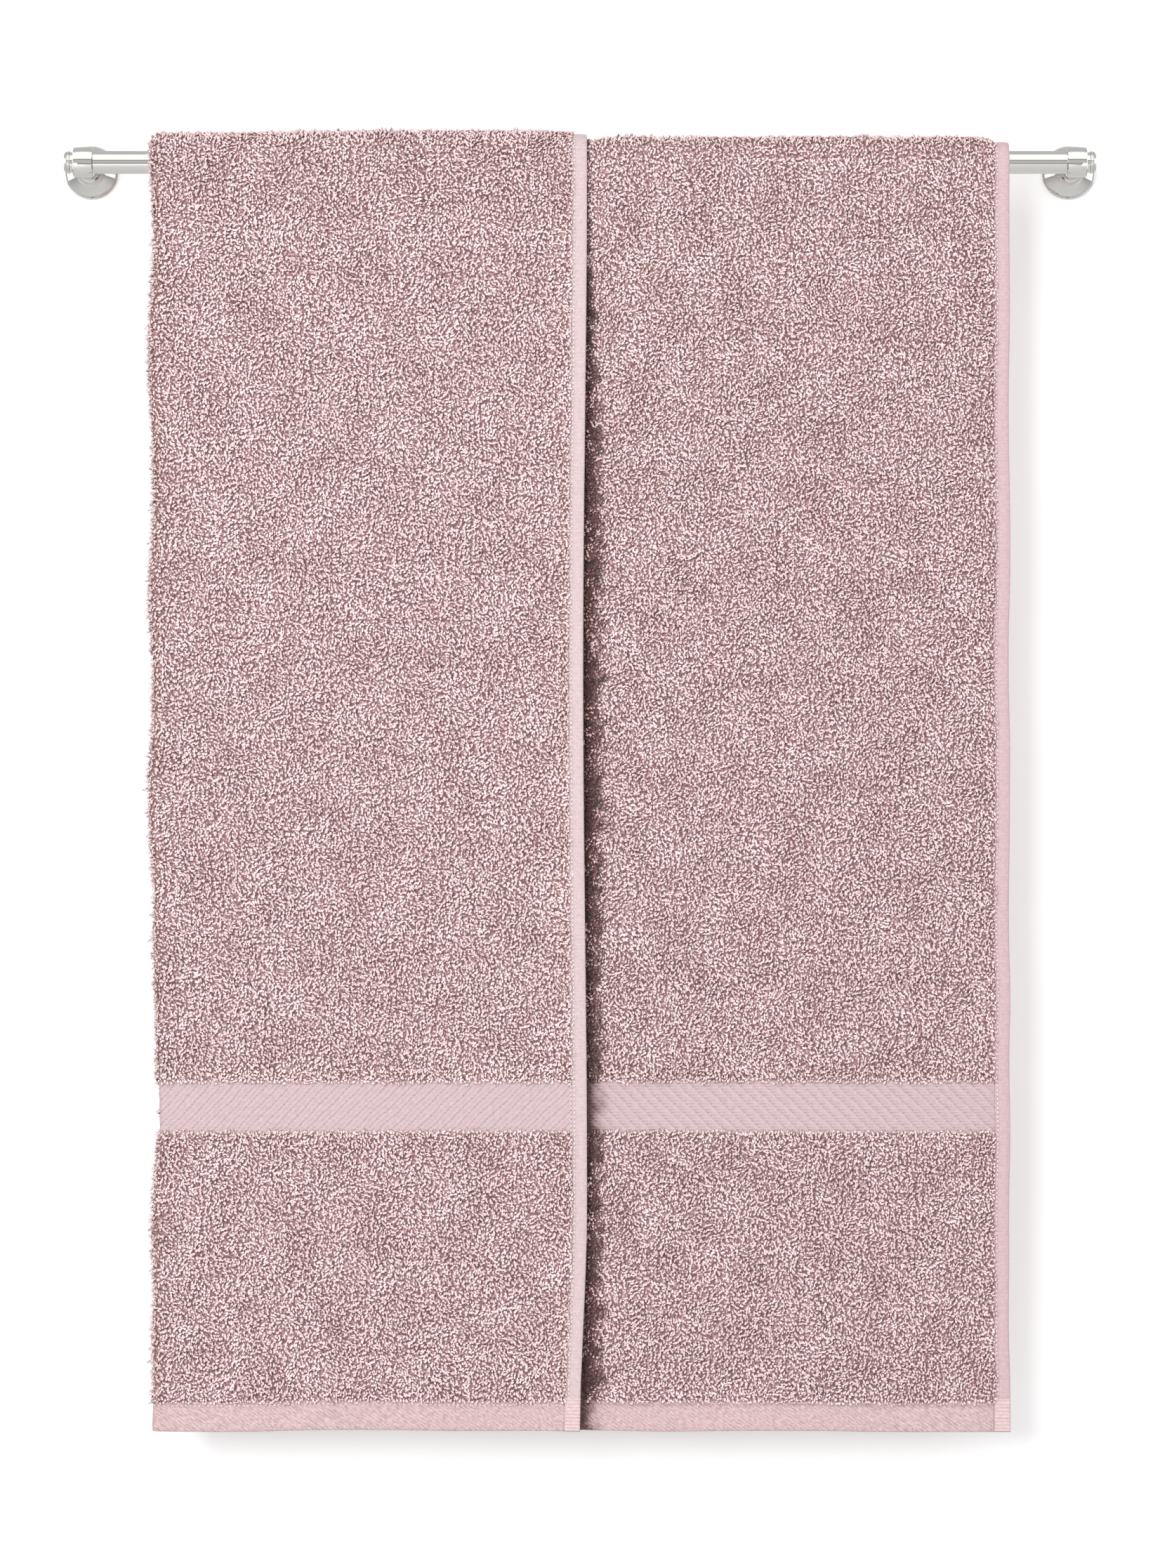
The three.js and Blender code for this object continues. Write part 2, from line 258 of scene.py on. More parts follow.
def combed_cotton_pile(add):
    """Looped cotton yarn: matt, with a soft sheen, and painted light: a pale painted highlight on the crowns,
    mauve-brown painted shade at the roots and near-black painted shadow beside the flap's edge.
    """
    tones = colours()
    shade = add("Attribute", output="Fac", attribute_name="pile_shade")
    place = add("TexCoord", output="Object")
    # Bundles of yarn take the dye a little unevenly, in patches of 20 to 60 mm.
    patches = add("TexNoise", place, 26.0, 3.0, 0.6)
    drift = add("MapRange", patches, 0.3, 0.7, -0.09, 0.09)
    level = add("Math", shade, drift, operation="ADD")
    # The ramp runs from the painted shadow beside the flap's edge, through painted shade at the roots and on
    # the loops' sides, to a painted highlight on the crowns.
    tint = tones.pile_painted_shadow
    for start, end, tone in ((-0.7, 0.0, tones.pile_root_shade), (0.0, 0.5, tones.pile_body),
                             (0.5, 1.0, tones.pile_crown_lit)):
        share = add("MapRange", level, start, end)
        tint = add("Mix", share, tint, tone, data_type="RGBA")
    return add("BsdfPrincipled", named={**COTTON, "Base Color": tint, "Sheen Weight": 0.25,
                                        "Sheen Roughness": 0.6})


def woven_cotton(add, tone, thread, twill=None, ribbed=False):
    """Flat-woven cotton: matt, with fine threads both ways, and painted shade in the grooves between ribs and
    rows, in seams and beside the flap's edge.

    The threads are about 0.5 mm apart on such a cloth; they are drawn at the thread size given, so that they
    show. A twill also has slanting lines, the given distance apart, and a ribbed cloth has the border's ribs.
    """
    lay = add("UVMap", uv_map="lay")
    # This attribute holds painted shade in grooves and seam dips, and painted shadow beside the flap's edge.
    dark = add("Attribute", output="Fac", attribute_name="crease")
    # A wave texture has 20 / (2 pi) bands to the unit, so this makes one band for each length.
    bands = 2 * pi / 20 / MM
    warp = add("TexWave", lay, bands / thread, 1.2, 1.0, 0.6, output="Fac", bands_direction="X")
    weft = add("TexWave", lay, bands / thread * 0.8, 1.2, 1.0, 0.6, output="Fac", bands_direction="Y")
    weave = add("Math", warp, weft, operation="MULTIPLY")
    slubs = add("TexNoise", lay, 420.0, 3.0, 0.7)
    marks = [add("MapRange", weave, 0.0, 0.5, 0.09, 0.0),
             add("MapRange", slubs, 0.3, 0.7, 0.2, 0.0)]
    if twill:
        slanted = add("Mapping", add("TexCoord", output="Object"), named={"Rotation": (0, radians(-35), 0)})
        lines = add("TexWave", slanted, bands / twill, 0.8, 1.0, output="Fac", bands_direction="Z")
        drawn = add("Mapping", slanted, named={"Scale": (1, 1, 3.2)})
        streaks = add("TexNoise", drawn, 430.0, 2.0)
        marks += [add("MapRange", lines, 0.0, 0.6, 0.12, 0.0),
                  add("MapRange", streaks, 0.35, 0.65, 0.24, -0.06)]
    if ribbed:
        marks.append(rib_pattern(add, lay))
    for mark in marks:
        dark = add("Math", dark, mark, operation="ADD")
    tint = add("Mix", dark, getattr(colours(), tone), colours().weave_gaps_and_shade, data_type="RGBA")
    bump = add("Bump", named={"Height": weave, "Strength": 0.35, "Distance": 0.0003})
    return add("BsdfPrincipled", named={"Base Color": tint, "Normal": bump, "Roughness": 0.85, "IOR": 1.5,
                                        "Specular IOR Level": 0.2, "Sheen Weight": 0.2,
                                        "Sheen Roughness": 0.5})


def rib_pattern(add, lay):
    """How dark the border's weave is at a place.

    The flap shows dotted grooves between the ribs and a fine warp line along each. The base layer shows the
    other face, with faint grooves and short weft dashes.
    """
    share = cos(radians(45)) / (sizes().rib_pitch * MM)
    wander = add("TexNoise", lay, 60.0, 1.0)
    phase = add("VectorMath", lay, (-share, share, 0), operation="DOT_PRODUCT")
    moved = add("Math", wander, 0.5, phase, operation="MULTIPLY_ADD")
    way = add("Math", moved, 0.5, operation="PINGPONG")
    groove_line = add("MapRange", way, 0.0, 0.13, 1.0, 0.0)
    middle = add("MapRange", way, 0.4, 0.5, 0.0, 0.14)
    # The weft's rows are about 0.7 mm apart; they are drawn 1.7 mm apart so that they show.
    rows = add("VectorMath", lay, (0, 1 / (1.7 * MM), 0), operation="DOT_PRODUCT")
    row = add("Math", rows, 0.5, operation="PINGPONG")
    row_line = add("MapRange", row, 0.0, 0.35, 1.0, 0.0)
    dots = add("MapRange", row_line, 0.0, 1.0, 0.2, 0.46)
    dotted = add("Math", groove_line, dots, operation="MULTIPLY")
    warp_face = add("Math", dotted, middle, operation="ADD")
    around = add("Math", moved, operation="FRACT")
    begins = add("MapRange", around, 0.15, 0.85, 0.3, 0.0)
    dash = add("Math", row_line, begins, operation="MULTIPLY")
    weft_face = add("Math", groove_line, 0.15, dash, operation="MULTIPLY_ADD")
    across = add("SeparateXYZ", lay)
    on_flap = add("Math", across, TURN_START * MM, operation="GREATER_THAN")
    return add("Mix", on_flap, weft_face, warp_face)


def loop_roots(add):
    """The ground under the pile: short loops seen deep down, 1.5 mm apart, pale on top with painted shade
    between them, and painted shadow beside the flap's edge.
    """
    lay = add("UVMap", uv_map="lay")
    crease = add("Attribute", output="Fac", attribute_name="crease")
    bends = add("TexNoise", lay, 500.0, 2.0, output="Color")
    warped = add("Mix", 0.0012, lay, bends, data_type="VECTOR")
    cells = add("TexVoronoi", warped, 1 / (1.5 * MM))
    # Painted shade: darker towards the cells' edges, between the loops.
    depth = add("MapRange", cells, 0.15, 0.65, 0.0, 0.85)
    shaded = add("Math", depth, crease, operation="MAXIMUM")
    tint = add("Mix", shaded, colours().ground, colours().pile_root_shade, data_type="RGBA")
    bump = add("Bump", named={"Height": cells, "Strength": 0.8, "Distance": 0.0006}, invert=True)
    return add("BsdfPrincipled", named={**COTTON, "Base Color": tint, "Normal": bump})


def polyester_thread(add):
    """Spun sewing thread: a shade lighter than the cloth, with a slight gloss."""
    place = add("TexCoord", output="Object")
    # Each thread's twist is about 0.4 mm long; it is drawn at 0.8 mm so that it shows.
    twist = add("TexWave", place, 390.0, 2.0, output="Fac", bands_direction="DIAGONAL")
    share = add("MapRange", twist, 0.0, 1.0, 0.0, 0.5)
    tint = add("Mix", share, colours().thread, colours().weave, data_type="RGBA")
    return add("BsdfPrincipled", named={"Base Color": tint, "Roughness": 0.55, "IOR": 1.5,
                                        "Sheen Weight": 0.1})


def metal(add, tone, smoothest, roughest, grain):
    """Bare or plated metal: the colour is all in the reflection, and fine marks break the gloss up."""
    place = add("TexCoord", output="Object")
    marks = add("TexNoise", place, grain, 4.0, 0.6)
    gloss = add("MapRange", marks, 0.3, 0.7, smoothest, roughest)
    return add("BsdfPrincipled", named={"Base Color": getattr(colours(), tone), "Metallic": 1.0,
                                        "Roughness": gloss})


def wall_paint(add):
    """White paint that takes shadows, and that a view from behind looks through."""
    seen = add("LightPath", output="Is Camera Ray")
    behind = add("NewGeometry", output="Backfacing")
    solid = add("Math", seen, behind, operation="SUBTRACT", use_clamp=True)
    paint = add("BsdfPrincipled", named={"Base Color": (0.8, 0.8, 0.8, 1), "Roughness": 1.0,
                                         "Specular IOR Level": 0.0, "Emission Color": (1, 1, 1, 1),
                                         "Emission Strength": 0.26})
    return add("MixShader", solid, add("BsdfTransparent"), paint)


def floor_paint(add):
    """Pale matt paint, very slightly uneven."""
    grain = add("TexNoise", add("TexCoord", output="Object"), 40.0, 4.0)
    tone = add("Mix", grain, (0.58, 0.58, 0.58, 1), (0.64, 0.64, 0.64, 1), data_type="RGBA")
    return add("BsdfPrincipled", named={"Base Color": tone, "Roughness": 0.8})


# Each finish has its real name, the function that makes its look, and that function's settings.
FINISHES = {
    "pile": ("Combed cotton pile, looped", combed_cotton_pile),
    "ground": ("Cotton ground with loop roots", loop_roots),
    "thread": ("Spun polyester sewing thread", polyester_thread),
    "weave": ("Flat-woven cotton hem", woven_cotton, "weave", 0.9),
    # The right-hand hem shows the cloth's other face, a shade deeper.
    "selvedge": ("Flat-woven cotton hem, face side", woven_cotton, "selvedge", 0.9),
    # Slanting lines 1.8 mm apart, with streaks along them.
    "twill": ("Cotton twill hem", woven_cotton, "twill", 0.9, 1.8),
    "block": ("Corded cotton corner", woven_cotton, "block", 0.9),
    "border": ("Ribbed cotton border", woven_cotton, "border", 0.85, None, True),
    # A mirror with a warm tint, dulled a little by fine wipe marks.
    "chrome": ("Chrome plate, polished", metal, "chrome", 0.01, 0.05, 60.0),
    # Bluish grey and satin, with a slightly mottled plating.
    "zinc": ("Zinc-plated steel, satin", metal, "zinc", 0.24, 0.42, 900.0),
    # Left unplated where the flange hides it: dull and grainy.
    "casting": ("Zinc die casting, tumbled", metal, "casting", 0.35, 0.6, 1500.0),
    "wall": ("White emulsion wall", wall_paint),
    "floor": ("Pale matt floor", floor_paint),
    "black": ("Black card", lambda add: add("BsdfDiffuse", (0.01, 0.01, 0.01, 1))),
    "white": ("Lit white card", lambda add: add("Emission", (1, 1, 1, 1), 1.3)),
}
made_materials = {}


def material(name):
    """The material of that short name, made when it is first asked for."""
    if name not in made_materials:
        title, look, *settings = FINISHES[name]
        made = bpy.data.materials.new(title)
        made.use_nodes = True
        made.node_tree.nodes.clear()
        add = partial(add_node, made.node_tree)
        add("OutputMaterial", look(add, *settings))
        made_materials[name] = made
    return made_materials[name]


# ---- meshes ----

SHARP = radians(32)  # edges of turned parts that turn more than this are left sharp


def finished(name, made):
    """A mesh from a bmesh that is done with."""
    mesh = bpy.data.meshes.new(name)
    made.to_mesh(mesh)
    made.free()
    return mesh


def add_piece(name, mesh, finish):
    """Links a finished mesh as a piece, with its material."""
    piece = bpy.data.objects.new(name, mesh)
    bpy.context.scene.collection.objects.link(piece)
    mesh.materials.append(material(finish))
    return piece


def hang(piece, zone):
    """Makes a piece of the cloth move as its zone does: with the front drop or with the rest; a piece over
    the rail keeps its place, with its transform baked in.
    """
    if zone == "over":
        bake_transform(piece)
    else:
        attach(piece, zone)


def add_to_cloth(name, mesh, finish, zone):
    """Adds a piece that lies on the ground cloth and hangs it in its zone."""
    piece = add_piece(name, mesh, finish)
    hang(piece, zone)


def turned(name, profile, origin, axis):
    """A turned part: an outline of (way along the axis, radius) spun about the axis through the origin."""
    made = bmesh.new()
    points = [made.verts.new((radius, 0, way)) for way, radius in profile]
    edges = [made.edges.new(pair) for pair in zip(points, points[1:] + points[:1])]
    bmesh.ops.spin(made, geom=points + edges, cent=(0, 0, 0), axis=(0, 0, 1), angle=2 * pi, use_merge=True,
                   steps=sizes().turned_sides)
    bmesh.ops.remove_doubles(made, verts=made.verts, dist=1e-4)
    bmesh.ops.recalc_face_normals(made, faces=made.faces)
    turn = Vector((0, 0, 1)).rotation_difference(Vector(axis)).to_matrix().to_4x4()
    matrix = Matrix.Scale(MM, 4) @ Matrix.Translation(origin) @ turn
    bmesh.ops.transform(made, matrix=matrix, verts=made.verts)
    for face in made.faces:
        face.smooth = True
    mesh = finished(name, made)
    mesh.set_sharp_from_angle(angle=SHARP)
    return mesh


def arc(middle, radius, start, end, steps):
    """Points of a round stretch of an outline, with its angles in degrees."""
    angles = [radians(start + (end - start) * i / steps) for i in range(steps + 1)]
    return [(middle[0] + radius * cos(a), middle[1] + radius * sin(a)) for a in angles]


def strip_mesh(name, across, along, face_height, back_height, crease):
    """A closed strip of cloth over a grid of stations, its two faces meeting at the edges.

    face_height and back_height give how far each face stands from the ground's middle; the last function
    gives how much painted shade a point has, from 0 to 1, on the outward face and on the other one.
    """
    across, along = np.sort(across), np.sort(along)
    columns, rows = len(across), len(along)
    made = bmesh.new()
    for level in (1, -1):
        grid = bmesh.ops.create_grid(made, x_segments=columns - 1, y_segments=rows - 1, size=1,
                                     matrix=Matrix.Translation((0, 0, level)))["verts"]
        if level == -1:
            bmesh.ops.reverse_faces(made, faces=list({face for vert in grid for face in vert.link_faces}))
    for vert in made.verts:
        if max(abs(vert.co.x), abs(vert.co.y)) > 1 - 1e-6:
            vert.co.z = 0
    bmesh.ops.remove_doubles(made, verts=made.verts, dist=1e-5)
    mesh = finished(name, made)

    flat = np.empty(len(mesh.vertices) * 3)
    mesh.vertices.foreach_get("co", flat)
    flat = flat.reshape(-1, 3)
    u = across[np.rint((flat[:, 0] + 1) / 2 * (columns - 1)).astype(int)]
    t = along[np.rint((flat[:, 1] + 1) / 2 * (rows - 1)).astype(int)]
    outward = flat[:, 2] > 0
    height = np.where(outward, face_height(u, t), np.where(flat[:, 2] < 0, -back_height(u, t), 0))
    mesh.vertices.foreach_set("co", (cloth_point(u, t, height) * MM).ravel())
    depth = crease(u, t, outward).astype(np.float32)
    mesh.attributes.new("crease", "FLOAT", "POINT").data.foreach_set("value", depth)
    corner = np.empty(len(mesh.loops), int)
    mesh.loops.foreach_get("vertex_index", corner)
    lay = np.stack([u, t], axis=1)[corner] * MM
    mesh.uv_layers.new(name="lay").data.foreach_set("uv", lay.ravel())
    mesh.shade_smooth()
    mesh.update()
    return mesh


def stations(*stretches):
    """Places along one side of a grid, in stretches of (start, end, step) that follow on each other."""
    places = []
    for start, end, step in stretches:
        count = max(1, round(abs(end - start) / step))
        places.extend(np.linspace(start, end, count, endpoint=False))
    places.append(stretches[-1][1])
    return np.array(places)


# ---- the rail ----


class TOWEL_OT_rail(bpy.types.Operator):
    """Turn the rail tube, its two posts, flanges and end caps"""

    bl_idname = "towel.rail"
    bl_label = "Rail, posts and caps"

    def execute(self, context):
        wall, lip = 1.0, 0.25
        tube = [(-RAIL_HALF, RAIL_R - lip), (lip - RAIL_HALF, RAIL_R), (RAIL_HALF - lip, RAIL_R),
                (RAIL_HALF, RAIL_R - lip), (RAIL_HALF, RAIL_R - wall), (-RAIL_HALF, RAIL_R - wall)]
        rail = (0, -STANDOFF, 0)
        self.finish_part("polished_rail", "rail_tube", tube, rail, (1, 0, 0))
        for side, sign in (("left", -1), ("right", 1)):
            wall_point = (sign * POST_X, 0, 0)
            post = self.collar_and_neck(side, (sign * POST_X, -STANDOFF, 0), wall_point)
            self.ride_rail(f"{side}_turned_collar", post, f"{side}_post")
            bell, cap = self.flange_outline(), self.cap_outline()
            self.finish_part(f"{side}_bell_flange", f"{side}_flange", bell, wall_point, (0, -1, 0))
            self.finish_part(f"{side}_turned_cap", f"{side}_end_cap", cap, rail, (sign, 0, 0))
        return {"FINISHED"}

    def finish_part(self, name, node, outline, origin, axis):
        self.ride_rail(name, turned(name, outline, origin, axis), node)

    def ride_rail(self, name, mesh, node):
        piece = add_piece(name, mesh, "chrome")
        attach(piece, "wall_rail")
        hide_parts(node)

    def collar_and_neck(self, side, centre, wall_point):
        """The barrel round the rail and the neck behind it, as two turned shells in one mesh."""
        clear = RAIL_R + 0.05
        bulge = 0.5  # how far the barrel swells at its middle
        low = COLLAR_R - 2 * bulge
        crown_r = (COLLAR_HALF ** 2 + bulge ** 2) / (2 * bulge)
        swing = degrees(COLLAR_HALF / crown_r) * 0.93
        barrel = arc((0, COLLAR_R - crown_r), crown_r, 90 + swing, 90 - swing, 10)
        outline = [(-COLLAR_HALF, clear), (-COLLAR_HALF, low), *barrel, (COLLAR_HALF, low),
                   (COLLAR_HALF, clear)]
        mesh = turned(f"{side}_turned_collar", outline, centre, (1, 0, 0))
        shoulder_r, neck_r, bore_r, shoulder, round_r = 7.2, 5.5, 0.8, 2.4, 0.9
        foot = FLANGE_DEPTH + 0.3
        top = STANDOFF - COLLAR_R * 0.86
        ring = arc((foot + shoulder / 2, shoulder_r - round_r), round_r, 160, 20, 8)
        neck = [(foot, bore_r), (foot, shoulder_r - 0.5), *ring, (foot + shoulder, neck_r + 0.5),
                (foot + shoulder * 1.5, neck_r + 0.12), (foot + shoulder * 2, neck_r), (top, neck_r),
                (top, bore_r)]
        other = turned(f"{side}_neck", neck, wall_point, (0, -1, 0))
        both = bmesh.new()
        both.from_mesh(mesh)
        both.from_mesh(other)
        both.to_mesh(mesh)
        both.free()
        bpy.data.meshes.remove(other)
        mesh.set_sharp_from_angle(angle=SHARP)
        return mesh

    def flange_outline(self):
        """A bell: a rim on the wall, a groove, a hollow-curved face and a flat crown."""
        rim, crown_r, hollow_r, bore_r, round_r = 2.6, 9.0, 12.9, 2.6, 0.6
        face_r = FLANGE_R - 1.3
        seat, step = 9.0, 4.6  # depths of the hollow behind the crown and behind the face
        rim_edge = arc((rim - round_r, FLANGE_R - round_r), round_r, 90, 0, 5)
        face = []
        for i in range(13):
            t = i / 12
            ease = t + 0.35 * t * (1 - t)
            way = rim + round_r + t * (FLANGE_DEPTH - rim - 2.6)
            face.append((way, face_r + (crown_r + 0.3 - face_r) * ease))
        crown = arc((FLANGE_DEPTH - round_r, crown_r - round_r), round_r, 90, 0, 5)
        inside = [(FLANGE_DEPTH, bore_r), (seat, bore_r), (seat, crown_r - 3), (step, hollow_r),
                  (0, hollow_r)]
        slot = [(rim, FLANGE_R - 0.8), (rim - 0.9, FLANGE_R - 0.9), (rim - 0.9, face_r - 0.1)]
        return [(0, FLANGE_R), *rim_edge, *slot, *face, (FLANGE_DEPTH - 1.6, crown_r), *crown, *inside]

    def cap_outline(self):
        """A cap with one raised bead, a tapered tip and the spigot that holds it in the tube."""
        start = RAIL_HALF + 0.3
        bead_r, neck_r, tip_r, bore_r, round_r = 6.6, 6.0, 4.9, 0.4, 0.95
        spigot_r, spigot = RAIL_R - 1.3, 12
        bead = arc((start + 2.4, bead_r - round_r), round_r, 160, 20, 8)
        taper = [(start + 3.6, bead_r - 0.3), (start + 4.4, bead_r - 0.7)]
        tip = arc((CAP_END - 0.6, tip_r - 0.3), 0.6, 70, 0, 5)
        return [(start - spigot, bore_r), (start - spigot, spigot_r), (start, spigot_r), (start, neck_r),
                (start + 1.3, neck_r), *bead, *taper, *tip, (CAP_END, bore_r)]


class TOWEL_OT_fixings(bpy.types.Operator):
    """Finish the hidden plates and screws"""

    bl_idname = "towel.fixings"
    bl_label = "Plates and screws"

    def execute(self, context):
        for name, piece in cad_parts.items():
            for word, finish in (("screw", "zinc"), ("plate", "casting")):
                if word in name:
                    piece.data.materials.clear()
                    piece.data.materials.append(material(finish))
        return {"FINISHED"}


# ---- the woven cloth ----


class TOWEL_OT_ground(bpy.types.Operator):
    """Weave the ground cloth, fold it along its length and hang it over the rail"""

    bl_idname = "towel.ground"
    bl_label = "Ground cloth"

    def execute(self, context):
        across = stations((0, TURN_START, 9), (TURN_START, TURN_END, 1.2), (TURN_END, ACROSS_END - 36, 9),
                          (ACROSS_END - 36, ACROSS_END, 3))
        along = stations((END_FRONT, -30, 10), (-30, 0, 5), (0, OVER_FLAP, 2.6), (OVER_FLAP, END_BACK, 10))

        def face(u, t):
            return sizes().ground_thickness / 2 + 0 * u

        # Painted shadow on the base layer's outward face beside the flap's edge.
        def crease(u, t, outward):
            return flap_edge_painted_shadow(u, t) * outward

        mesh = strip_mesh("ground_cloth", across, along, face, face, crease)
        piece = add_piece("ground_cloth", mesh, "ground")
        hang(piece, "over")
        zones = [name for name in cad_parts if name.startswith(("base_", "flap_", "left_fold_"))]
        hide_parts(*zones)
        return {"FINISHED"}


def groove(across, along):
    """1 in the groove between two of the border's slanting ribs and 0 on a rib's top."""
    slope = radians(45)
    phase = (along * cos(slope) - across * sin(slope)) / sizes().rib_pitch
    return 0.5 + 0.5 * np.cos(2 * pi * phase)


class TOWEL_OT_borders(bpy.types.Operator):
    """Weave the ribbed border bands near both ends"""

    bl_idname = "towel.borders"
    bl_label = "Border bands"

    def execute(self, context):
        self.band("front_border_band", *BORDER_FRONT, "front_drop")
        self.band("back_border_band", *BORDER_BACK, "towel")
        return {"FINISHED"}

    def band(self, name, low, high, zone):
        step, rim = 1.4, 1.5
        shown = EDGE_RIGHT + 12  # the base layer beyond this is hidden under the flap
        across = stations((SIDE_HEM - 1, shown, step), (shown, TURN_START - 4, 6),
                          (TURN_START - 4, ACROSS_END - SIDE_HEM + 1, step))
        along = stations((low - rim, high + rim, step))

        def height(t):
            return 0.78 * np.minimum(smooth(t, low - rim, low), smooth(-t, -high - rim, -high))

        def face(u, t):
            return height(t) - 0.2 * groove(u, t)

        def back(u, t):
            return height(t) - 0.3 * groove(u, t) * smooth(u, TURN_START - 8, TURN_START)

        # Painted shadow beside the flap's edge, on the outward face.
        def crease(u, t, outward):
            return 0.75 * flap_edge_painted_shadow(u, t, 0.75, 7) * outward

        add_to_cloth(name, strip_mesh(name, across, along, face, back, crease), "border", zone)


def bump_at(way, middle, width):
    """1 at the middle, falling to 0 over about the width on both sides."""
    return np.exp(-((way - middle) / width) ** 2)


class TOWEL_OT_hems(bpy.types.Operator):
    """Turn and press the side hems and the end hems, with their dense corner blocks"""

    bl_idname = "towel.hems"
    bl_label = "Hems and corner blocks"

    def execute(self, context):
        self.side_hem("right_side_hem", 0, 1, "selvedge")
        self.side_hem("flap_side_hem", ACROSS_END, -1, "weave")
        self.end_hem("front_end_hem", END_FRONT, HEM_FRONT, "front_drop")
        self.end_hem("back_end_hem", END_BACK, HEM_BACK, "towel")
        for where, end, upward, zone in (("front", END_FRONT, 1, "front_drop"),
                                         ("back", END_BACK, -1, "towel")):
            for side, edge, inward in (("right", 0, 1), ("flap", ACROSS_END, -1)):
                self.corner_block(f"{where}_{side}_corner_block", edge, inward, end, upward, zone)
        return {"FINISHED"}

    def strip(self, name, across, along, height, crease, finish, zone):
        """A hem, with the same heights on both of its faces."""
        mesh = strip_mesh(name, across, along, height, height, crease)
        add_to_cloth(name, mesh, finish, zone)

    def crown(self, way, width, ends=6):
        """The half thickness of a turned hem at a way across it: flat, with rounded edges."""
        place = np.clip(np.abs(way / width * 2 - 1), 0, 1)
        return sizes().hem_thickness / 2 * np.sqrt(np.maximum(1 - place ** ends, 0))

    def side_hem(self, name, edge, inward, finish):
        pitch = sizes().hem_rib_pitch
        across = edge + inward * np.array([0, 0.15, 0.8, 3.5, 6.2, 7.2, 8.2, 9.0]) / 9 * SIDE_HEM

        def height(u, t):
            way = np.abs(u - edge)
            ribs = 0.07 * np.cos(2 * pi * t / pitch) * smooth(way, 0.2, 1)
            return self.crown(way, SIDE_HEM) + ribs - 0.3 * bump_at(way, SEAM_IN, 0.55)

        # Painted shade in the grooves between the cross ribs and in the seam's dip.
        def crease(u, t, outward):
            ribs = 0.05 * (0.5 - 0.5 * np.cos(2 * pi * t / pitch))
            return ribs + 0.22 * bump_at(np.abs(u - edge), SEAM_IN, 0.7)

        self.strip(name, across, stations((END_FRONT, END_BACK, pitch / 2)), height, crease, finish, "over")

    def end_hem(self, name, end, top, zone):
        ways = np.array([0, 0.15, 0.6, 1.6, 3.5, 6, 8.5, 11, 13, 14.6, 15.6, 16.4, 17.3, 18])
        left, right = SIDE_HEM - 1.5, ACROSS_END - SIDE_HEM + 1.5
        across = stations((left, TURN_START, 3), (TURN_START, TURN_END, 1.1), (TURN_END, right, 3))

        def height(u, t):
            way = np.abs(t - end)
            ends = np.minimum(smooth(u, left, left + 1), smooth(-u, -right, -right + 1))
            pucker = 0.12 * PUCKERS(u, t * 0.4) * smooth(way, 2, 12)
            seam = 0.35 * bump_at(way, END_SEAM_IN, 0.7)
            return (self.crown(way, abs(top - end), 8) - seam + pucker) * ends

        # Painted shade in the seam's dip, and painted shadow beside the flap's edge.
        def crease(u, t, outward):
            at_flap_edge = 0.7 * flap_edge_painted_shadow(u, t, 0.4, 5) * outward
            return np.maximum(0.16 * bump_at(np.abs(t - end), END_SEAM_IN, 0.8), at_flap_edge)

        self.strip(name, across, end + ways / 18 * (top - end), height, crease, "twill", zone)

    def corner_block(self, name, edge, inward, end, upward, zone):
        """A block of dense cross stitching that closes the corner where two hems meet."""
        length, rib, lap_out, lap_in = 19.5, 2.0, 0.15, SIDE_HEM + 0.3
        across = edge + inward * stations((-lap_out, 0.6, 0.25), (0.6, SIDE_HEM - 0.4, 1.2),
                                          (SIDE_HEM - 0.4, lap_in, 0.2))

        def height(u, t):
            inset = np.minimum(np.abs(u - edge + inward * lap_out), np.abs(edge + inward * lap_in - u))
            rows = 0.3 * np.abs(np.sin(pi * np.abs(t - end) / rib))
            return (sizes().hem_thickness / 2 + 0.12 + rows) * np.sqrt(np.clip(inset / 0.5, 0, 1))

        # Painted shade in the grooves between the rows of stitching.
        def crease(u, t, outward):
            return 0.24 * (1 - np.abs(np.sin(pi * np.abs(t - end) / rib))) ** 1.5

        along = end + upward * stations((0.3, length, rib / 6))
        self.strip(name, across, along, height, crease, "block", zone)


# ---- shapes repeated many times ----


def seed_shape(segments, rings):
    """A small spindle along x: its points, its faces as one list of corners, and the faces' sizes."""
    made = bmesh.new()
    bmesh.ops.create_uvsphere(made, u_segments=segments, v_segments=rings, radius=1)
    bmesh.ops.rotate(made, verts=made.verts, cent=(0, 0, 0), matrix=Matrix.Rotation(-pi / 2, 3, "Y"))
    points = np.array([vert.co for vert in made.verts])
    faces = [[vert.index for vert in face.verts] for face in made.faces]
    made.free()
    return points, np.concatenate(faces), np.array([len(face) for face in faces])


def repeat_mesh(name, shape, places, shade=None):
    """One mesh of many copies of a small shape: places holds the points of each copy, in millimetres."""
    points, corners_of, sizes_of = shape
    count = len(places)
    mesh = bpy.data.meshes.new(name)
    mesh.vertices.add(count * len(points))
    mesh.vertices.foreach_set("co", (places * MM).ravel())
    corner = (corners_of[None] + len(points) * np.arange(count)[:, None]).ravel()
    mesh.loops.add(len(corner))
    mesh.loops.foreach_set("vertex_index", corner)
    face_sizes = np.tile(sizes_of, count)
    mesh.polygons.add(len(face_sizes))
    mesh.polygons.foreach_set("loop_start", np.cumsum(face_sizes) - face_sizes)
    mesh.polygons.foreach_set("loop_total", face_sizes)
    if shade is not None:
        values = mesh.attributes.new("pile_shade", "FLOAT", "POINT").data
        values.foreach_set("value", shade.ravel().astype(np.float32))
    mesh.update(calc_edges=True)
    mesh.shade_smooth()
    return mesh


